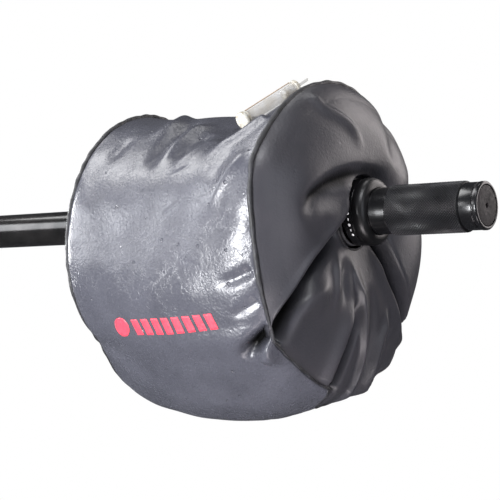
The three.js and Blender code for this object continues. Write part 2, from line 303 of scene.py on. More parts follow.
def wrap_relief(x, angle):
    """Folds, puckers by the seams and a slight unevenness, in millimetres."""
    relief = 0.25 * ripple(x, angle * ARC, 3, 34)
    for shape in WRAP_FOLDS:
        relief = relief + wrap_fold(x, angle, *shape)
    to_front = FRONT_SEAM - x
    to_rear = x - REAR_SEAM
    gathers = np.sin(28 * angle + 1.7 * np.sin(4 * angle)) * (0.5 + 0.5 * np.sin(7 * angle + 1))
    relief = relief + 0.5 * gathers * np.exp(-to_front / 12)
    relief = relief + 0.7 * gathers * np.exp(-to_rear / 10)
    held = smooth_step(to_front / 5) * smooth_step(to_rear / 5)
    return relief * (0.15 + 0.85 * held)


def side_roll(x, angle):
    """The sides of the wrap roll over towards each seam instead of meeting it flat."""
    rolled = 0
    for distance, (height, soon) in ((x - REAR_SEAM, REAR_ROLL), (FRONT_SEAM - x, FRONT_ROLL)):
        held = np.maximum(distance, 0)
        rolled = rolled + height * (1 - np.exp(-held / soon)) * np.exp(-held / ROLL_FADE)
    return rolled * hump(np.abs(angle), 92 * DEG, 42 * DEG)


def wrap_radius(x, angle):
    share = drum_share(x)
    crown = np.sin(math.pi * share) ** 0.65
    hollow = hump(x, HOLLOW_X, HOLLOW_ALONG) * hump(angle, HOLLOW_ANGLE, HOLLOW_AROUND)
    full = seam_radius(share, angle) + bulge(angle) * crown + side_roll(x, angle)
    return full - HOLLOW_DEPTH * hollow + wrap_relief(x, angle)


def on_drum(x, angle, radius):
    return around_x(x, angle, radius, FRONT_SHIFT * drum_share(x), DRUM_CENTRE)


# ---- The front end panel: a full hood over a recessed, pleated fan ----
# The panel reaches round under the bag, so its seam dips back along the drum there.
SEAM_DIP = 22


def seam_dip(angle):
    """How far back the front seam lies, as a share of its deepest: from the near corner under
    the bag and up the far side."""
    turned_by = np.degrees(angle) % 360
    return smooth_step((188 - turned_by) / 9) * smooth_step((turned_by - 104) / 22)


def front_seam_x(angle):
    return FRONT_SEAM - SEAM_DIP * seam_dip(angle)


# Paths in (y, z). The hood's lip runs from the near seam up to the neck and over it, the far
# lip from the neck down to the far seam, and the inner fold bends the hood near the neck.
HOOD_LIP = [(-97, -100), (-93, -89), (-89, -76), (-84, -64), (-78, -52), (-69, -39), (-56, -27),
            (-43, -16), (-33, -6), (-27, 4), (-22, 14), (-14, 20), (0, 23), (14, 20), (22, 10)]
FAR_LIP = [(23, 6), (31, -16), (42, -36), (51, -47), (61, -57), (73, -69), (86, -82), (96, -98)]
INNER_FOLD = [(-83, -16), (-81, -5), (-75, 6), (-64, 14), (-46, 22), (-20, 28), (3, 29), (24, 27)]
PANEL_FOLDS = [
    ([(-77, -5), (-69, 4), (-52, 11), (-30, 17), (-10, 21)], 4.5, 1.4, (0.5, 0.3)),
    ([(-82, -6), (-77, -12), (-65, -16), (-49, -13)], 8, -1.4, (0.3, 0.3)),
    ([(-51, 85), (-46, 75), (-33, 69), (-20, 60), (-8, 44)], (7, 3), 2.6, (0.1, 0.4)),
    ([(60, 88), (46, 62), (30, 38)], 9, -3, (0.3, 0.3)),
    ([(104, 40), (70, 22), (36, 6)], 9, -3, (0.3, 0.3)),
    ([(-22, -28), (-28, -40), (-29, -52), (-29, -66), (-28, -84)], (4, 7), 3.4, (0.3, 0.5)),
    ([(-10, -32), (-16, -50), (-16, -72)], 5, -2.4, (0.3, 0.4)),
    ([(-4, -62), (-7, -76), (-12, -88), (-16, -99), (-20, -112), (-23, -128), (-25, -142)],
     (9, 2.4), 4.5, (0.3, 0)),
    ([(4, -60), (2, -77), (-1, -92), (-4, -106), (-8, -120), (-12, -142)],
     (4.2, 3.6), -13, (0.35, 0)),
    ([(-6, -32), (0, -53), (5, -64), (9, -78), (12, -92), (15, -106), (14, -123), (9, -140)],
     (2.6, 6), 5, (0.3, 0)),
    ([(16, -50), (26, -72), (29, -98), (27, -126), (26, -140)], 5, -4, (0.3, 0)),
    ([(43, -66), (45, -84), (42, -94), (39, -108), (37, -122), (38, -140)], (5, 2.4), 5, (0.3, 0)),
    ([(49, -84), (49, -96), (47, -106), (45, -118), (46, -140)], (2.4, 4), -10, (0.35, 0)),
    ([(22, -20), (38, -43), (45, -51), (54, -63), (64, -77), (72, -88), (80, -100)],
     (8, 2.4), 5, (0.25, 0.1)),
    ([(-88, -86), (-81, -80), (-67, -69), (-45, -58), (-34, -46)], (12, 6), 4.5, (0.1, 0.35)),
]
HOOD_SWELL = 20
FAN_SWELL = 8
REAR_SWELL = 13
LIP_WIDTH = 2.2
LIP_ROLL = 2
LIP_DEPTH = 15
FAR_DEPTH = 12
INNER_DROP = 5
INNER_DEPTH = 3.6
LOWEST = -6  # how far behind the seam the deepest folds may reach
SKIRT_ROWS = 14
HUG_ANGLE = -65 * DEG  # the hood stands high round this side of the neck
SWING = 30 * DEG
DEEP_CREASE = 8  # valleys at least this deep get painted shade
CREASE_SHADE = 0.075  # the share of light lost for each millimetre of depth
KINK_SHADE = 0.085


def panel_plane(inward, angle, outline):
    """Where a panel's point lies in (y, z): inward is 0 at the seam and 1 at the neck."""
    outer = outline_radius(angle, outline)
    radius = outer + (NECK_RADIUS - outer) * inward
    centre = DRUM_CENTRE + (NECK_CENTRE - DRUM_CENTRE) * inward
    return radius * np.sin(angle), centre + radius * np.cos(angle)


def hood_profile(inward, angle):
    """The hood's swell over the seam plane, from 0 to 1: high up to the neck where it hugs it."""
    dome = np.sin(math.pi * inward) ** 0.7
    held = np.where(inward < 0.5, dome, 1 - 0.18 * smooth_step((inward - 0.5) / 0.6))
    held = held * smooth_step((1.01 - inward) / 0.07)
    hug = smooth_step((115 * DEG - np.abs(angle - HUG_ANGLE)) / (50 * DEG))
    return dome + (held - dome) * hug


def ring_limit(height, y, z):
    """Keeps the panel behind the index ring wherever the ring passes as the bag swings."""
    turned_by = np.maximum(np.abs(np.arctan2(y, z - NECK_CENTRE)) - SWING, 0)
    reach = RING_RADIUS + 1.2 - NECK_CENTRE * np.cos(turned_by)
    limit = RING_START - 1.5 - FRONT_SEAM
    above = (height - limit) * smooth_step((np.hypot(y, z - NECK_CENTRE) - reach) / 2)
    return np.where(height > limit, limit + above, height)


def panel_relief(y, z):
    """The panel's folds in millimetres, and the painted shade of its deep creases at each point."""
    relief = 0.25 * ripple(y, z, 7, 42)
    painted_shade = 0 * y
    for points, width, rise, fade in PANEL_FOLDS:
        shape = fold(y, z, points, width, rise, fade)
        relief = relief + shape
        # Deep valleys add painted shade, in proportion to their depth.
        if rise <= -DEEP_CREASE:
            painted_shade = painted_shade - CREASE_SHADE * shape
    return relief, painted_shade


def panel_swell(inward, angle, fan):
    """Height over the seam plane before any folds. Fan is 1 between the two lips."""
    hood = HOOD_SWELL * hood_profile(inward, angle)
    sunk = FAN_SWELL * np.sin(math.pi * inward) ** 0.8
    return (FRONT_NECK - FRONT_SEAM) * inward + hood * (1 - fan) + sunk * fan


def hood_drop(y, z, from_lip, fan):
    """How far the hood falls past its inner fold, in millimetres, and the painted shade in that
    fold.
    """
    from_inner, _ = signed_gap(INNER_FOLD, y, z)
    inner = smooth_step((z + 14) / 24) * smooth_step((30 - y) / 26) * (1 - fan)
    held_up = 1 - 0.7 * hump(from_lip, 0, 16)
    drop = INNER_DROP * smooth_step(0.5 + from_inner / 16) * held_up
    drop = drop + INNER_DEPTH * hump(from_inner, 3, 7.5)
    return inner * drop, 0.85 * inner * hump(from_inner, 2.5, 7)


def lip_relief(from_lip, lip_along, from_far, far_along):
    """The rolled edge of the lip and the valleys past both lips, in millimetres, and the painted
    shade in those valleys."""
    begins = smooth_step(lip_along / 0.1)
    lip_depth = LIP_DEPTH * begins * smooth_step((0.68 - lip_along) / 0.2)
    far_depth = FAR_DEPTH * smooth_step(far_along / 0.2) * smooth_step((1 - far_along) / 0.1)
    valley = lip_depth * hump(from_lip, 8, 7.5) * (from_far > -6)
    far_valley = far_depth * hump(from_far, 4, 4) * (from_lip > -6)
    # Painted shade in the band under the lip.
    shade_under_lip = lip_depth * smooth_step(from_lip / 4) * smooth_step((20 - from_lip) / 13)
    roll = LIP_ROLL * hump(from_lip, -4, 3.6) * begins * smooth_step((0.72 - lip_along) / 0.1)
    return roll - valley - far_valley, (shade_under_lip + far_valley) / 12


def panel_skirt(angle, edge_relief):
    """The strip of the front panel that lies on the drum, from the dipped seam forwards."""
    share = np.linspace(0, 1, SKIRT_ROWS, endpoint=False)[:, None]
    seam_x = front_seam_x(angle)
    x = seam_x + (FRONT_SEAM - seam_x) * share
    skirt = on_drum(x, angle, wrap_radius(x, angle) + 0.8 * edge_relief * share)
    skirt[..., X] += 0.4 * edge_relief * share
    return skirt


def front_panel_points(rows, columns):
    """Points of the skirt and the panel, and the painted shade in its creases at each."""
    inward = np.linspace(0, 1, rows)[:, None] ** 1.15
    angle = full_turn(columns)
    y, z = panel_plane(inward, angle, FRONT_OUTLINE)
    y = y + FRONT_SHIFT * (1 - inward)
    from_lip, lip_along = signed_gap(HOOD_LIP, y, z)
    from_far, far_along = signed_gap(FAR_LIP, y, z)
    fan = smooth_step(0.5 + from_lip / (2 * LIP_WIDTH))
    fan = fan * smooth_step(0.5 + from_far / (2 * LIP_WIDTH))
    relief, painted_shade = panel_relief(y, z)
    drop, drop_shade = hood_drop(y, z, from_lip, fan)
    lips, lip_shade = lip_relief(from_lip, lip_along, from_far, far_along)
    # Painted shade from the deep creases, the inner fold and the valleys by the lips.
    painted_shade = painted_shade + drop_shade * smooth_step((1 - inward) / 0.2) + lip_shade
    painted_shade = np.clip(painted_shade, 0, 1) * smooth_step(inward / 0.04)
    dipped = seam_dip(angle)
    at_seam = np.maximum(smooth_step(inward / 0.045), dipped)
    at_neck = 0.2 + 0.8 * smooth_step((1 - inward) / 0.08)
    relief = (relief - drop + lips) * at_seam * at_neck
    outwards = dipped * (1 - smooth_step(inward / 0.15))
    height = panel_swell(inward, angle, fan) + relief * (1 - 0.6 * outwards)
    height = np.maximum(height, LOWEST * (1 - 0.5 * inward))
    far_side = smooth_step((np.cos(angle - 90 * DEG) + 0.2) / 0.8)
    past = (0.6 + 1.2 * far_side) * np.sin(math.pi * np.clip(inward / 0.16, 0, 1))
    past = past + 0.8 * relief * outwards
    y = y + past * np.sin(angle)
    z = z + past * np.cos(angle)
    face = np.stack([FRONT_SEAM + ring_limit(height, y, z), y, z], axis=-1)
    skirt = panel_skirt(angle, relief[:1] * dipped)
    return np.concatenate([skirt, face]), np.concatenate([np.zeros(skirt.shape[:2]), painted_shade])


def rear_panel_points(rows, columns):
    inward = np.linspace(0, 1, rows)[:, None] ** 1.05
    angle = full_turn(columns)
    y, z = panel_plane(inward, angle, REAR_OUTLINE)
    swell = np.sin(math.pi * inward)
    gathers = np.sin(13 * angle + 0.9 * np.sin(3 * angle)) * (0.6 + 0.4 * np.sin(4 * angle + 1))
    depth = (REAR_SEAM - REAR_NECK) * inward + REAR_SWELL * swell ** 0.8
    depth = depth + 2.6 * gathers * inward * swell
    depth = depth + 0.5 * ripple(y, z, 9, 28) * smooth_step(inward / 0.07)
    return np.stack([REAR_SEAM - depth, y, z], axis=-1)


# ---- Mesh helpers ----
def link(made):
    bpy.context.scene.collection.objects.link(made)
    return made


def grid_faces(rows, columns, close_rows=False, close_columns=True):
    down = np.arange(rows if close_rows else rows - 1)
    across = np.arange(columns if close_columns else columns - 1)
    i, j = np.meshgrid(down, across, indexing="ij")
    next_i = (i + 1) % rows
    next_j = (j + 1) % columns
    quads = np.stack([i * columns + j, i * columns + next_j,
                      next_i * columns + next_j, next_i * columns + j], axis=-1)
    return quads.reshape(-1, 4)


def mesh_object(name, points, faces, painted_shade=None):
    """A smooth mesh. The painted shade for each point, where given, is kept as an attribute for the
    material to read.
    """
    mesh = bpy.data.meshes.new(name)
    places = points.reshape(-1, 3) * METRES
    mesh.from_pydata(places.tolist(), [], faces.tolist())
    # The attribute carries painted shade for creases.
    if painted_shade is not None:
        depth = mesh.attributes.new("painted_shade", "FLOAT", "POINT")
        depth.data.foreach_set("value", painted_shade.ravel())
    work = bmesh.new()
    work.from_mesh(mesh)
    bmesh.ops.remove_doubles(work, verts=work.verts, dist=1e-7)
    bmesh.ops.recalc_face_normals(work, faces=work.faces)
    work.to_mesh(mesh)
    work.free()
    mesh.shade_smooth()
    return link(bpy.data.objects.new(name, mesh))


def grid_object(name, points, close_rows=False, painted_shade=None):
    rows, columns = points.shape[:2]
    return mesh_object(name, points, grid_faces(rows, columns, close_rows), painted_shade)


def finish_piece(piece, material, body, slot, *replaced):
    piece.data.materials.append(MAT[material])
    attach(piece, body)
    if replaced:
        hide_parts(*replaced)
    return piece


def thicken(piece, inwards):
    """Gives an open skin its thickness, on the side away from its normals."""
    solidify = piece.modifiers.new("thickness", "SOLIDIFY")
    solidify.thickness = inwards * METRES
    solidify.offset = -1
    return piece


def rounded(profile, radius):
    """A closed outline with each corner rounded in four steps."""
    points = [np.array(point, float) for point in profile]
    result = []
    for i, corner in enumerate(points):
        before = points[i - 1] - corner
        after = points[(i + 1) % len(points)] - corner
        reach = min(radius, 0.45 * np.hypot(*before), 0.45 * np.hypot(*after))
        start = corner + before / np.hypot(*before) * reach
        end = corner + after / np.hypot(*after) * reach
        for t in np.linspace(0, 1, 5):
            result.append((1 - t) ** 2 * start + 2 * t * (1 - t) * corner + t * t * end)
    return result


def turned(name, profile, radius=0.35, around=144):
    """A ring turned about the X axis from a closed outline of (x, radius) points."""
    outline = np.array(rounded(profile, radius))
    points = around_x(outline[:, :1], full_turn(around), outline[:, 1:])
    made = grid_object(name, points, close_rows=True)
    made.data.set_sharp_from_angle(angle=35 * DEG)
    return made


# ---- Materials ----
def set_inputs(node, values):
    """Sets a node's inputs, whose names are given with _ for each space."""
    for name, value in values.items():
        node.inputs[name.replace("_", " ")].default_value = value


def new_material(name, color, roughness, metallic=0, **sockets):
    material = bpy.data.materials.new(name)
    material.use_nodes = True
    shader = material.node_tree.nodes["Principled BSDF"]
    set_inputs(shader, {"Base Color": (*color, 1), "Roughness": roughness, "Metallic": metallic})
    set_inputs(shader, sockets)
    return material


class Nodes:
    """Short names for the nodes that the materials share."""

    def __init__(self, material):
        self.tree = material.node_tree
        self.shader = self.tree.nodes["Principled BSDF"]
        self.place = self.tree.nodes.new("ShaderNodeTexCoord").outputs["Object"]

    def add(self, kind, **inputs):
        node = self.tree.nodes.new("ShaderNode" + kind)
        set_inputs(node, inputs)
        return node

    def link(self, output, socket):
        self.tree.links.new(output, socket)

    def stretched(self, scale):
        node = self.add("Mapping", Scale=scale)
        self.link(self.place, node.inputs["Vector"])
        return node.outputs["Vector"]

    def noise(self, size_mm, detail=3, roughness=0.5, distortion=0, place=None):
        node = self.add("TexNoise", Scale=1000 / size_mm, Detail=detail, Roughness=roughness,
                        Distortion=distortion)
        self.link(place or self.place, node.inputs["Vector"])
        return node.outputs["Fac"]

    def cells(self, size_mm, feature="F1", randomness=1):
        node = self.add("TexVoronoi", Scale=1000 / size_mm, Randomness=randomness)
        node.feature = feature
        self.link(self.place, node.inputs["Vector"])
        return node.outputs["Distance"]

    def ramp(self, value, *stops):
        node = self.add("ValToRGB")
        elements = node.color_ramp.elements
        while len(elements) < len(stops):
            elements.new(0.5)
        for element, (position, color) in zip(elements, stops):
            element.position = position
            element.color = (*color, 1)
        self.link(value, node.inputs["Fac"])
        return node.outputs["Color"]

    def spread(self, value, low, high, from_low=0.3, from_high=0.7):
        node = self.add("MapRange", From_Min=from_low, From_Max=from_high, To_Min=low, To_Max=high)
        self.link(value, node.inputs["Value"])
        return node.outputs["Result"]

    def math(self, operation, first, second):
        node = self.add("Math")
        node.operation = operation
        for socket, value in zip(node.inputs, (first, second)):
            if isinstance(value, (int, float)):
                socket.default_value = value
            else:
                self.link(value, socket)
        return node.outputs["Value"]

    def attribute(self, name):
        node = self.add("Attribute")
        node.attribute_name = name
        return node.outputs["Fac"]

    def bump(self, height, depth_mm, after=None):
        node = self.add("Bump", Distance=depth_mm * METRES, Strength=1)
        self.link(height, node.inputs["Height"])
        if after is not None:
            self.link(after, node.inputs["Normal"])
        return node.outputs["Normal"]

    def drive(self, socket, output):
        self.link(output, self.shader.inputs[socket])

    def color(self, value, dark, light, low=0.35, high=0.65):
        self.drive("Base Color", self.ramp(value, (low, dark), (high, light)))

    def roughness(self, value, low, high):
        self.drive("Roughness", self.spread(value, low, high))


BLACK, WHITE = (0, 0, 0), (1, 1, 1)


def vinyl(name, dark, light, roughness, grain_depth, crackle, pit_depth=0.1, shade_creases=False):
    """Coated cloth: pebble grain, a net of fine creases, a few pits, and patches of colour and
    gloss. The mesh's attribute paints shade into its creases: darker colour and duller shine."""
    material = new_material(name, light, roughness[0])
    nodes = Nodes(material)
    patches = nodes.math("MULTIPLY", nodes.noise(34, detail=4), 0.75)
    fine = nodes.noise(1.1, detail=4, roughness=0.65)
    tone = nodes.math("ADD", patches, nodes.math("MULTIPLY", fine, 0.25))
    # Painted shade: the mesh's attribute darkens the tone and dulls the shine in creases.
    if shade_creases:
        lit_share = nodes.math("SUBTRACT", 1, nodes.attribute("painted_shade"))
        tone = nodes.math("MULTIPLY", tone, lit_share)
        nodes.drive("Specular IOR Level", nodes.spread(lit_share, 0.03, 0.5, 0, 1))
    # The near-black stop is reached only where painted shade darkens the tone.
    tones = nodes.ramp(tone, (0.05, (0.003, 0.003, 0.003)), (0.35, dark), (0.65, light))
    nodes.drive("Base Color", tones)
    nodes.roughness(nodes.noise(3, detail=5, roughness=0.6), *roughness)
    normal = nodes.bump(nodes.cells(1.9, feature="SMOOTH_F1"), grain_depth)
    normal = nodes.bump(fine, grain_depth * 0.8, after=normal)
    wander = nodes.noise(17, detail=6, roughness=0.66, distortion=0.3)
    from_line = nodes.math("ABSOLUTE", nodes.math("SUBTRACT", wander, 0.5), 0)
    normal = nodes.bump(nodes.ramp(from_line, (0, BLACK), (0.03, WHITE)), crackle, after=normal)
    pits = nodes.ramp(nodes.cells(15), (0.04, BLACK), (0.1, WHITE))
    nodes.drive("Normal", nodes.bump(pits, pit_depth, after=normal))
    return material


def mottled(name, dark, light, roughness, spots, gloss, grain, depth, metallic=0, **sockets):
    """Colour and gloss that wander over the surface, and a fine grain. Spots, gloss and grain
    are the patterns that they follow. Without a gloss pattern the roughness is even."""
    material = new_material(name, light, roughness[0], metallic, **sockets)
    nodes = Nodes(material)
    nodes.color(spots(nodes), dark, light)
    if gloss is not None:
        nodes.roughness(gloss(nodes), *roughness)
    nodes.drive("Normal", nodes.bump(grain(nodes), depth))
    return material


def noise(*size_and_detail, **settings):
    return lambda nodes: nodes.noise(*size_and_detail, **settings)


def cells(size_mm, **settings):
    return lambda nodes: nodes.cells(size_mm, **settings)


def turned_lines(size_mm, detail, stretch):
    """Fine lines round the X axis, as a lathe leaves them."""
    return lambda nodes: nodes.noise(size_mm, detail, place=nodes.stretched((1, stretch, stretch)))


def anodised(name, dark, light, roughness, metallic):
    """Black anodised aluminium with fine marks from turning."""
    return mottled(name, dark, light, roughness, noise(22, 4), noise(4, 5, 0.7),
                   turned_lines(0.5, 2, 0.02), 0.004, metallic, Specular_IOR_Level=0.6)


def moulded(name, dark, light, roughness):
    varied = (roughness * 0.85, roughness * 1.15)
    return mottled(name, dark, light, varied, noise(8), noise(3), noise(0.6), 0.05)


def print_ink(name, dark, light):
    return mottled(name, dark, light, (0.35, 0.55), noise(2.2, 5), noise(1.2),
                   cells(1.5, feature="SMOOTH_F1"), 0.12)


def knurled_metal(root, tip):
    """Anodised diamonds with painted shade: black in the grooves and brighter at the points, with a
    random tone.
    """
    material = new_material("knurl_anodised", (0.04, 0.04, 0.046), 0.36, 0.1,
                            Specular_IOR_Level=0.32)
    nodes = Nodes(material)
    length = nodes.add("VectorMath")
    length.operation = "LENGTH"
    nodes.link(nodes.stretched((0, 1, 1)), length.inputs[0])
    height = nodes.spread(length.outputs["Value"], 0, 1, root * METRES, tip * METRES)
    # Painted shade: colour follows the diamonds' height, darkest in the grooves.
    groove_shade = nodes.math("MULTIPLY", height, nodes.spread(nodes.noise(12), 0.75, 1.1))
    nodes.color(groove_shade, (0.001, 0.001, 0.0015), (0.04, 0.04, 0.046), 0.35, 0.95)
    nodes.roughness(nodes.noise(3), 0.36, 0.44)
    return material


# The end panels are the same vinyl as the wrap; their darker tones are painted shade, as they face
# away from the key light.
SHADED_PANEL_TONES = ((0.028, 0.028, 0.034), (0.04, 0.038, 0.044))
BLACK_TONES = ((0.004, 0.004, 0.0045), (0.01, 0.01, 0.011))
MAT = {
    "wrap": vinyl("wrap_vinyl", (0.045, 0.046, 0.057), (0.061, 0.062, 0.076), (0.24, 0.34), 0.15,
                  crackle=0.055, pit_depth=0.6, shade_creases=True),
    "panel": vinyl("panel_vinyl", *SHADED_PANEL_TONES, (0.36, 0.44), 0.09, crackle=0.02, shade_creases=True),
    "rear_panel": vinyl("rear_panel_vinyl", *SHADED_PANEL_TONES, (0.36, 0.44), 0.09, crackle=0.02),
    "binding": mottled("binding_cloth", (0.008, 0.008, 0.009), (0.022, 0.022, 0.026),
                       (0.42, 0.7), noise(5, 4), noise(3), noise(0.9, 4), 0.25),
    "lining": mottled("lining_cloth", (0.018, 0.018, 0.02), (0.05, 0.05, 0.055),
                      (0.75,), noise(6), None, cells(0.9, randomness=0.2), 0.25),
    "metal": anodised("black_anodised", *BLACK_TONES, (0.2, 0.24), 0.3),
    "collar": anodised("collar_black_anodised", *BLACK_TONES, (0.34, 0.4), 0.3),
    "bar": anodised("bar_anodised", (0.02, 0.02, 0.02), (0.036, 0.034, 0.034), (0.16, 0.22), 0.75),
    "knurl": knurled_metal(GRIP_RADIUS - KNURL_DEPTH, GRIP_RADIUS),
    "disc": mottled("disc_metal", (0.008, 0.007, 0.008), (0.016, 0.013, 0.015),
                    (0.45, 0.65), noise(4, 5), noise(2), noise(0.35), 0.05, metallic=0.5),
    "steel": mottled("spring_steel", (0.42, 0.42, 0.44), (0.56, 0.56, 0.58),
                     (0.24, 0.4), noise(6), noise(1.5), turned_lines(0.5, 3, 0.05), 0.03,
                     metallic=1),
    "rubber": moulded("o_ring_rubber", (0.012, 0.012, 0.012), (0.024, 0.024, 0.024), 0.6),
    "plug": moulded("plug_plastic", (0.014, 0.014, 0.015), (0.03, 0.03, 0.032), 0.45),
    "sand": mottled("dry_sand", (0.36, 0.29, 0.19), (0.62, 0.53, 0.4),
                    (0.95,), noise(0.7, 5), None, cells(0.8), 0.5),
    # Thin clear vinyl: mostly see-through, a little milky and yellowed.
    "clear": mottled("clear_plastic", (0.36, 0.32, 0.26), (0.56, 0.56, 0.57),
                     (0.08, 0.24), noise(9), noise(5), noise(2.5), 0.08, Alpha=0.3),
    "milky": mottled("milky_plastic", (0.38, 0.34, 0.27), (0.68, 0.67, 0.62),
                     (0.12, 0.3), noise(3), noise(2), noise(1.2), 0.12,
                     IOR=1.45, Transmission_Weight=0.25),
    "red": print_ink("red_print", (0.72, 0.03, 0.055), (0.85, 0.04, 0.07)),
    "weld": moulded("weld_brown", (0.22, 0.14, 0.08), (0.42, 0.3, 0.2), 0.4),
    "white": print_ink("white_print", (0.75, 0.75, 0.75), (0.9, 0.9, 0.9)),
}


# ---- Bar ----
def ring_outline(start, end, inner, outer):
    return [(start, inner), (end, inner), (end, outer), (start, outer)]


def make_bar():
    tube = turned("bar_surface", ring_outline(BAR_START, BAR_END, BAR_BORE, BAR_RADIUS))
    finish_piece(tube, "bar", "bar", "anodised", "bar_tube")
    face, spigot_end = span("bar_inner_plug", X)
    flange_end = BAR_START - GAP
    spigot = BAR_BORE - GAP
    plug = [(face, AXIS), (face, BAR_RADIUS), (flange_end, BAR_RADIUS),
            (flange_end, spigot), (spigot_end, spigot), (spigot_end, AXIS)]
    finish_piece(turned("end_plug", plug, 0.8), "plug", "bar", "bar_plug", "bar_inner_plug")


# ---- Handle ----
def make_handle_core():
    socket = 17.2
    socket_end = CORE_START + 18.5
    bore = 14.3
    shoulder = 19.5
    neck = 17.25
    neck_start = COLLAR_END - 3.5
    seat = 16.3
    seat_start = GRIP_START - GAP
    thread = DISC_RADIUS + 1
    outline = [
        (CORE_START, socket), (CORE_START, shoulder), (neck_start, shoulder), (neck_start, neck),
        (seat_start, neck), (seat_start, seat), (GRIP_END, seat), (GRIP_END, thread),
        (CORE_END, thread), (CORE_END, bore), (socket_end, bore), (socket_end, socket),
    ]
    finish_piece(turned("grip_core", outline, 0.3), "metal", "handle", "anodised", "handle_core")


def diamond_waves(along, around, pitch):
    """Height of a diamond knurl, from 0 in the grooves to 1 at the points."""
    first = np.abs(((along + around) / pitch) % 1 - 0.5) * 2
    second = np.abs(((along - around) / pitch) % 1 - 0.5) * 2
    return np.minimum(first, second)


def make_knurled_grip():
    starts = 56  # diamonds round the grip
    steps = 6  # mesh steps across each diamond
    around = starts * steps
    pitch = 2 * math.pi * GRIP_RADIUS / starts
    chamfer = 0.8
    bore = 16.6
    edge = GRIP_RADIUS - KNURL_DEPTH - chamfer
    rows = int((GRIP_END - GRIP_START - 2 * chamfer) / pitch * steps)
    x_outer = np.linspace(GRIP_START + chamfer, GRIP_END - chamfer, rows)
    angle = full_turn(around)
    relief = diamond_waves(x_outer[:, None], angle * GRIP_RADIUS, pitch)
    outer = GRIP_RADIUS - KNURL_DEPTH + KNURL_DEPTH * relief
    ends = np.array([(GRIP_END, edge), (GRIP_END, bore), (GRIP_START, bore), (GRIP_START, edge)])
    x_all = np.concatenate([x_outer, ends[:, 0]])
    radius = np.vstack([outer, np.repeat(ends[:, 1:], around, axis=1)])
    points = around_x(x_all[:, None], angle, radius)
    grip = grid_object("diamond_knurl_grip", points, close_rows=True)
    grip.data.shade_flat()
    finish_piece(grip, "knurl", "handle", "knurl", "knurled_sleeve")


def make_ferrule():
    body = RIM_RADIUS - 0.3
    groove = body - 0.5
    bore = DISC_RADIUS + GAP
    hollow = bore + 0.7
    rim = FERRULE_END - 3.6
    bevel = 0.9
    seat = DISC_BACK - GAP
    ledge = bore - 1.5
    ledge_back = seat - 1.2
    outline = [
        (FERRULE_START, hollow), (FERRULE_START, body), (rim - 1.1, body), (rim - 0.9, groove),
        (rim - 0.1, groove), (rim, RIM_RADIUS), (FERRULE_END - bevel, RIM_RADIUS),
        (FERRULE_END, RIM_RADIUS - bevel), (FERRULE_END, bore + 0.3), (FERRULE_END - 0.3, bore),
        (seat, bore), (seat, ledge), (ledge_back, ledge), (ledge_back, hollow),
    ]
    ferrule = turned("grip_end_ferrule", outline, 0.3)
    finish_piece(ferrule, "metal", "handle", "anodised", "end_ferrule")
    vent = 1.75
    disc = turned("grip_end_disc", ring_outline(DISC_BACK, DISC_FACE, vent, DISC_RADIUS), 0.45)
    finish_piece(disc, "disc", "handle", "end_disc", "end_cap_disc")


THREAD_BORE = 19.8  # of the index ring and the collar, over the core's shoulder


def make_index_ring():
    bevel = 0.9
    outline = [(RING_START, THREAD_BORE), (RING_START, RING_RADIUS - bevel),
               (RING_START + bevel, RING_RADIUS), (RING_END, RING_RADIUS), (RING_END, THREAD_BORE)]
    ring = turned("index_ring_band", outline, 0.4)
    finish_piece(ring, "metal", "handle", "anodised", "index_ring")


def make_collar():
    edge = 0.5
    lip_bore = 17.55
    lip = COLLAR_END - 3.2
    shoulder = 6
    centre_x, centre_radius = COLLAR_END - shoulder, COLLAR_RADIUS - shoulder
    arc = [(centre_x + shoulder * math.sin(t), centre_radius + shoulder * math.cos(t))
           for t in np.linspace(0, math.pi / 2, 9)]
    outline = [(COLLAR_START, THREAD_BORE), (COLLAR_START, COLLAR_RADIUS - edge),
               (COLLAR_START + edge, COLLAR_RADIUS), *arc, (COLLAR_END, lip_bore),
               (lip, lip_bore), (lip, THREAD_BORE)]
    collar = turned("twist_collar", outline, 0.3)
    finish_piece(collar, "collar", "collar", "anodised", "lock_collar")


def round_patch(radius, rings, around):
    """A disc: its grid of (u, v) offsets, and whether the grid closes on itself."""
    reach = np.linspace(0, radius, rings + 1)[:, None]
    angle = full_turn(around)
    return reach * np.cos(angle), reach * np.sin(angle), True


def slanted_patch(width, height, slant):
    """A slanted bar, as round_patch gives a disc."""
    u = np.linspace(-width / 2, width / 2, 7)[None, :]
    v = np.linspace(-height / 2, height / 2, 9)[:, None]
    return u + slant * v, v + 0 * u, False


def printed(name, patches, surface, material, body, slot):
    """Thin shapes of ink laid on a surface, joined into one piece."""
    ink = 0.1
    all_points = []
    all_faces = []
    count = 0
    for u_centre, v_centre, (u, v, closed) in patches:
        points = surface(u_centre + u, v_centre + v)
        all_points.append(points.reshape(-1, 3))
        all_faces.append(count + grid_faces(*points.shape[:2], close_columns=closed))
        count += points.shape[0] * points.shape[1]
    piece = mesh_object(name, np.concatenate(all_points), np.concatenate(all_faces))
    thicken(piece, ink)
    return finish_piece(piece, material, body, slot)


def make_index_marks():
    """A row of plain dots and dashes round the near side of the ring."""
    marks_x = RING_START + 5.6
    reach = RING_RADIUS + 0.12

    def surface(u, v):
        return around_x(marks_x + u, v / RING_RADIUS, reach)

    patches = []
    for i, degrees in enumerate((-96, -106, -116, -126, -136)):
        shape = round_patch(1.1, 3, 20) if i % 2 == 0 else slanted_patch(0.9, 1.8, 0)
        patches.append((0, degrees * DEG * RING_RADIUS, shape))
    printed("index_marks", patches, surface, "white", "handle", "anodised")


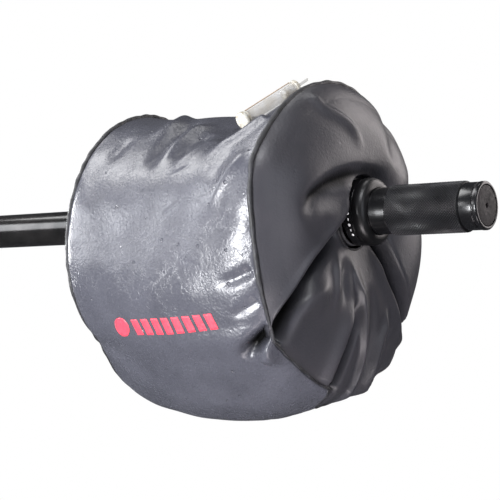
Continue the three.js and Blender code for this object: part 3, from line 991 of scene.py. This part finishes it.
# ---- Bag ----
def make_wrap():
    along, around = 170, 700
    spread = 0.5 - 0.5 * np.cos(np.linspace(0, math.pi, along))
    even = np.linspace(0, 1, along)
    angle = full_turn(around)
    x = REAR_SEAM + (front_seam_x(angle) - REAR_SEAM) * (0.35 * spread + 0.65 * even)[:, None]
    points = on_drum(x, angle, wrap_radius(x, angle))
    # Painted shade in the kink's dent, darker where the dent is deeper.
    painted_shade = np.clip(-KINK_SHADE * wrap_fold(x, angle, *KINK), 0, 1)
    wrap = thicken(grid_object("wrap_skin", points, painted_shade=painted_shade), SKIN)
    return finish_piece(wrap, "wrap", "bag", "wrap_vinyl", "wrap_panel")


def make_front_panel():
    points, painted_shade = front_panel_points(170, 760)
    panel = thicken(grid_object("front_panel_skin", points, painted_shade=painted_shade), SKIN)
    return finish_piece(panel, "panel", "bag", "panel_vinyl", "front_end_panel")


def make_rear_panel():
    panel = thicken(grid_object("rear_panel_skin", rear_panel_points(90, 560)), SKIN)
    return finish_piece(panel, "rear_panel", "bag", "panel_vinyl", "rear_end_panel")


def cord_ring(name, centres, minors):
    """A closed cord of varying thickness through a ring of centre points."""
    ahead = np.roll(centres, -1, axis=0) - np.roll(centres, 1, axis=0)
    ahead /= np.linalg.norm(ahead, axis=1, keepdims=True)
    bar_way = np.tile([1.0, 0, 0], (len(centres), 1))
    bar_way -= ahead * np.sum(ahead * bar_way, axis=1, keepdims=True)
    bar_way /= np.linalg.norm(bar_way, axis=1, keepdims=True)
    out = np.cross(ahead, bar_way)
    turn = full_turn(12)[:, None]
    section = np.cos(turn) * bar_way[:, None] + np.sin(turn) * out[:, None]
    points = centres[:, None] + minors[:, None, None] * section
    return grid_object(name, points, close_rows=True)


def make_seam(name, seam_x, sink, node, seed, thinnest=0.9, thickest=2.0):
    """Piping that follows the edge of the wrap, thickest on the near side."""
    angle = full_turn(900)
    x = seam_x(angle)
    arc = angle * ARC
    wobble = 0.35 * ripple(arc, 0 * arc, seed, 14, 8) * np.cos(angle / 2) ** 0.2
    radius = wrap_radius(x, angle) - sink + wobble
    full = thinnest + (thickest - thinnest) * smooth_step((np.cos(angle + 50 * DEG) - 0.2) / 0.4)
    minors = full * (1 + 0.12 * ripple(arc, 0 * arc, seed + 1, 20, 6))
    centres = on_drum(x, angle, radius)
    finish_piece(cord_ring(name, centres, minors), "binding", "bag", "binding", node)


def make_hem(name, x, node):
    angle = full_turn(260)
    arc = angle * NECK_RADIUS
    radius = NECK_RADIUS + 0.25 * ripple(arc, 0 * arc, 21, 12, 6)
    minors = 0.55 * HEM_MINOR * (0.92 + 0.08 * ripple(arc, 0 * arc, 22, 9, 6))
    centres = around_x(x, angle, radius, z=NECK_CENTRE)
    finish_piece(cord_ring(name, centres, minors), "binding", "bag", "binding", node)


def make_lining():
    rows, columns = 120, 200
    x = np.linspace(SLEEVE_START, SLEEVE_END, rows)[:, None]
    angle = full_turn(columns)
    radius = SLEEVE_RADIUS - 0.25 + 0.25 * ripple(x, angle * SLEEVE_RADIUS, 31, 22, 8)
    points = around_x(x, angle, radius, z=NECK_CENTRE)
    lining = thicken(grid_object("sleeve_lining", points), SKIN)
    return finish_piece(lining, "lining", "sleeve", "lining", "inner_sleeve")


def make_sand():
    """The fill: the wrap's own shape, a little smaller, with a hole for the sleeve."""
    rows, columns = 60, 240
    x = np.linspace(REAR_SEAM + 6, FRONT_SEAM - 20, rows)[:, None]
    inset = 4 + 6 * smooth_step((x - FRONT_SEAM + 45) / 20)
    angle = full_turn(columns)
    outer = on_drum(x, angle, wrap_radius(x, angle) - inset)
    inner = around_x(x[::-1], angle, NECK_RADIUS + 1, z=NECK_CENTRE)
    sand = grid_object("loose_sand", np.concatenate([outer, inner]), close_rows=True)
    finish_piece(sand, "sand", "bag", "sand", "sand_fill")


def make_print():
    """A plain red mark low on the near side: a dot and a row of slanted bars."""
    start_x, end_x = REAR_SEAM + 49, REAR_SEAM + 133
    angle = -121.6 * DEG

    def surface(u, v):
        a = angle + v / ARC + (u - start_x) * 0.0004
        return on_drum(u, a, wrap_radius(u, a) + 0.14)

    patches = [(start_x, 0, round_patch(7.2, 6, 40))]
    for bar_x in np.linspace(start_x + 16, end_x, 8):
        patches.append((bar_x, 0, slanted_patch(6.4, 11.5, -0.3)))
    printed("plain_red_mark", patches, surface, "red", "bag", "wrap_vinyl")


# ---- Filler spout ----
SPOUT_AXIS = Vector(next(j for j in frame["record"]["behaviour"]["joints"]
                         if j["name"] == "stopper_pull")["axis"]).normalized()
SPOUT_LENGTH = 52


def along_spout(piece, offset=0):
    """Puts a piece that was made along X on the spout's axis, offset from the tube's middle."""
    low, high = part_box("filler_spout")
    turn = Vector((1, 0, 0)).rotation_difference(SPOUT_AXIS)
    matrix = turn.to_matrix().to_4x4()
    matrix.translation = (Vector(low) + Vector(high)) / 2 + SPOUT_AXIS * offset * METRES
    piece.data.transform(matrix)
    return piece


def make_spout():
    radius, bore = 5.6, 4.3
    half = SPOUT_LENGTH / 2
    tube = turned("clear_filler_tube", ring_outline(-half, half, bore, radius), 0.3, 64)
    finish_piece(along_spout(tube), "clear", "bag", "clear_vinyl", "filler_spout")
    disc = [(-3.4, AXIS), (-3.4, 6.1), (-2.2, 6.9), (0, 6.9), (0, AXIS)]
    face = along_spout(turned("valve_face", disc, 0.5, 64), -half - GAP)
    finish_piece(face, "milky", "bag", "clear_vinyl", "valve_base")
    foot = turned("valve_weld_ring", ring_outline(0, 2.2, radius - 0.2, radius + 0.9), 0.5, 64)
    finish_piece(along_spout(foot, -half), "milky", "bag", "clear_vinyl")
    make_spout_weld(half, radius)
    stem, head = 4.0, 6.0
    stem_end = half - 11
    head_start = half + GAP
    head_end = head_start + 3.2
    outline = [(stem_end, AXIS), (stem_end, stem - 0.4), (stem_end + 1.5, stem),
               (head_start, stem), (head_start, head), (head_end, head), (head_end, AXIS)]
    plug = along_spout(turned("stopper_plug", outline, 0.5, 64))
    finish_piece(plug, "milky", "stopper", "clear_vinyl", "spout_stopper")
    make_stopper_tab(head_end)


def make_spout_weld(half, radius):
    """The welded edge that runs along the top of the tube."""
    line = turned("spout_weld_line", ring_outline(1 - half, half - 1, AXIS, 0.4), 0.1, 16)
    to_axis = Vector((1, 0, 0)).rotation_difference(SPOUT_AXIS)
    upwards = (Vector((0, 0, 1)) - SPOUT_AXIS * SPOUT_AXIS.z).normalized()
    offset = to_axis.inverted() @ upwards * (radius + 0.1) * METRES
    line.data.transform(Matrix.Translation(offset))
    finish_piece(along_spout(line), "weld", "bag", "clear_vinyl")


def make_stopper_tab(head_end):
    """A thin tongue with a round end and softened edges."""
    length, half_width = 13, 2.5
    root = head_end - 0.8
    tip = head_end + length - half_width
    outline = [(root, -half_width)]
    outline += [(tip + half_width * math.sin(t), -half_width * math.cos(t))
                for t in np.linspace(0, math.pi, 17)]
    outline = np.array(outline + [(root, half_width)])
    middle_point = outline.mean(axis=0)
    inwards = middle_point - outline
    inwards /= np.linalg.norm(inwards, axis=1)[:, None]
    around = len(outline)
    half_thickness = 0.8
    layers = [np.tile([*middle_point, -half_thickness], (around, 1))]
    for height, inset in ((-half_thickness, 0.35), (-0.45, 0), (0.45, 0), (half_thickness, 0.35)):
        layers.append(np.column_stack([outline + inwards * inset, np.full(around, height)]))
    layers.append(np.tile([*middle_point, half_thickness], (around, 1)))
    tab = along_spout(grid_object("stopper_pull_tab", np.stack(layers)))
    finish_piece(tab, "clear", "stopper", "clear_vinyl")


# ---- CAD shapes that stay, with finished materials ----
KEPT_NODES = {"bar_outer_plug": "plug", "collet": "steel", "collar_o_ring": "rubber"}


def dress_cad_nodes():
    for node, material in KEPT_NODES.items():
        for slot in frame["nodes"][node].material_slots:
            slot.material = MAT[material]


# ---- Camera, light and floor ----
def aim(thing, place, target):
    thing.location = place
    thing.rotation_mode = "QUATERNION"
    thing.rotation_quaternion = (Vector(target) - Vector(place)).to_track_quat("-Z", "Y")


def make_camera():
    data = bpy.data.cameras.new("camera")
    data.sensor_width = 36
    data.lens = 124.8
    data.clip_start = 0.05
    data.clip_end = 50
    camera = link(bpy.data.objects.new("camera", data))
    azimuth, elevation, distance = 35 * DEG, -3.4 * DEG, 1.342
    target = Vector((0.290, 0, -0.0246))
    back = Vector((math.sin(azimuth) * math.cos(elevation),
                   -math.cos(azimuth) * math.cos(elevation), math.sin(elevation)))
    aim(camera, target + back * distance, target)
    bpy.context.scene.camera = camera


def area_light(name, place, target, size, power, color=(1, 1, 1)):
    data = bpy.data.lights.new(name, "AREA")
    data.shape = "RECTANGLE"
    data.size, data.size_y = size
    data.energy = power
    data.color = color
    light = link(bpy.data.objects.new(name, data))
    aim(light, place, target)
    light.visible_camera = False


def make_lights():
    drum = (0.29, 0, -0.02)
    near_seam = (0.36, -0.1, -0.03)
    hood = (0.39, 0, 0.02)
    area_light("key_left", (-1.32, -1.03, 0.42), drum, (0.8, 0.9), 25, (0.95, 0.97, 1.0))
    area_light("streak_box", (-0.5, -1.53, 0.25), (0.42, 0, 0), (0.2, 0.4), 3)
    area_light("seam_box", (0.05, -1.85, -0.43), near_seam, (0.38, 0.6), 88, (0.97, 0.98, 1.0))
    area_light("top_left", (-0.55, -0.4, 1.2), drum, (1.0, 0.7), 19)
    area_light("overhead", (0.35, 0.35, 1.4), drum, (0.5, 0.5), 3.5)
    area_light("rear_left_strip", (-1.5, 0.2, 0.25), drum, (0.4, 0.6), 27)
    area_light("top_front", (1.24, -0.76, 1.28), hood, (0.7, 0.7), 18, (0.96, 0.97, 1.0))
    area_light("front_right", (1.95, -0.3, 0.15), hood, (0.5, 0.9), 4, (0.88, 0.92, 1.0))
    area_light("back_right", (0.957, 1.4, 0.66), hood, (1.0, 1.2), 14, (1, 0.93, 0.92))
    area_light("low_front", (0.6, -0.19, -0.4), (0.39, 0, -0.07), (0.3, 0.14), 1.6, (1, 0.93, 0.95))


def make_world():
    """White where the camera sees it, and a dim grey in the light that it gives."""
    world = bpy.data.worlds.new("studio")
    bpy.context.scene.world = world
    world.use_nodes = True
    nodes = world.node_tree.nodes
    seen = nodes["Background"]
    lit = nodes.new("ShaderNodeBackground")
    path = nodes.new("ShaderNodeLightPath")
    mix = nodes.new("ShaderNodeMixShader")
    set_inputs(seen, {"Color": (1, 1, 1, 1)})
    set_inputs(lit, {"Color": (0.8, 0.82, 0.9, 1), "Strength": 0.08})
    join = world.node_tree.links.new
    join(path.outputs["Is Camera Ray"], mix.inputs["Fac"])
    join(lit.outputs["Background"], mix.inputs[1])
    join(seen.outputs["Background"], mix.inputs[2])
    join(mix.outputs["Shader"], nodes["World Output"].inputs["Surface"])


def make_floor():
    """A pale disc well below the bag, small enough to stay under the camera's view."""
    mesh = bpy.data.meshes.new("floor")
    work = bmesh.new()
    bmesh.ops.create_circle(work, cap_ends=True, radius=1.2, segments=96)
    work.to_mesh(mesh)
    work.free()
    floor = link(bpy.data.objects.new("floor", mesh))
    floor.location = (0.29, 0, -0.42)
    pale = new_material("pale_floor", (0.86, 0.86, 0.87), 0.7)
    nodes = Nodes(pale)
    nodes.color(nodes.noise(300), (0.84, 0.84, 0.85), (0.88, 0.88, 0.89))
    mesh.materials.append(pale)
    floor.visible_glossy = False


make_camera()
bpy.context.scene.view_settings.view_transform = "Standard"
make_world()
make_lights()
make_floor()
make_bar()
make_handle_core()
make_knurled_grip()
make_ferrule()
make_index_ring()
make_index_marks()
make_collar()
wrap_skin = make_wrap()
front_skin = make_front_panel()
rear_skin = make_rear_panel()
make_seam("front_piping", lambda angle: front_seam_x(angle) + 0.6, 0.2, "front_seam_binding", 41)
make_seam("rear_piping", lambda angle: REAR_SEAM - 0.6 + 0 * angle, 0.4, "rear_seam_binding", 51,
          thinnest=1.5, thickest=1.9)
make_hem("front_hem", FRONT_NECK, "front_neck_hem")
make_hem("rear_hem", REAR_NECK, "rear_neck_hem")
lining_skin = make_lining()
make_sand()
make_print()
make_spout()
dress_cad_nodes()
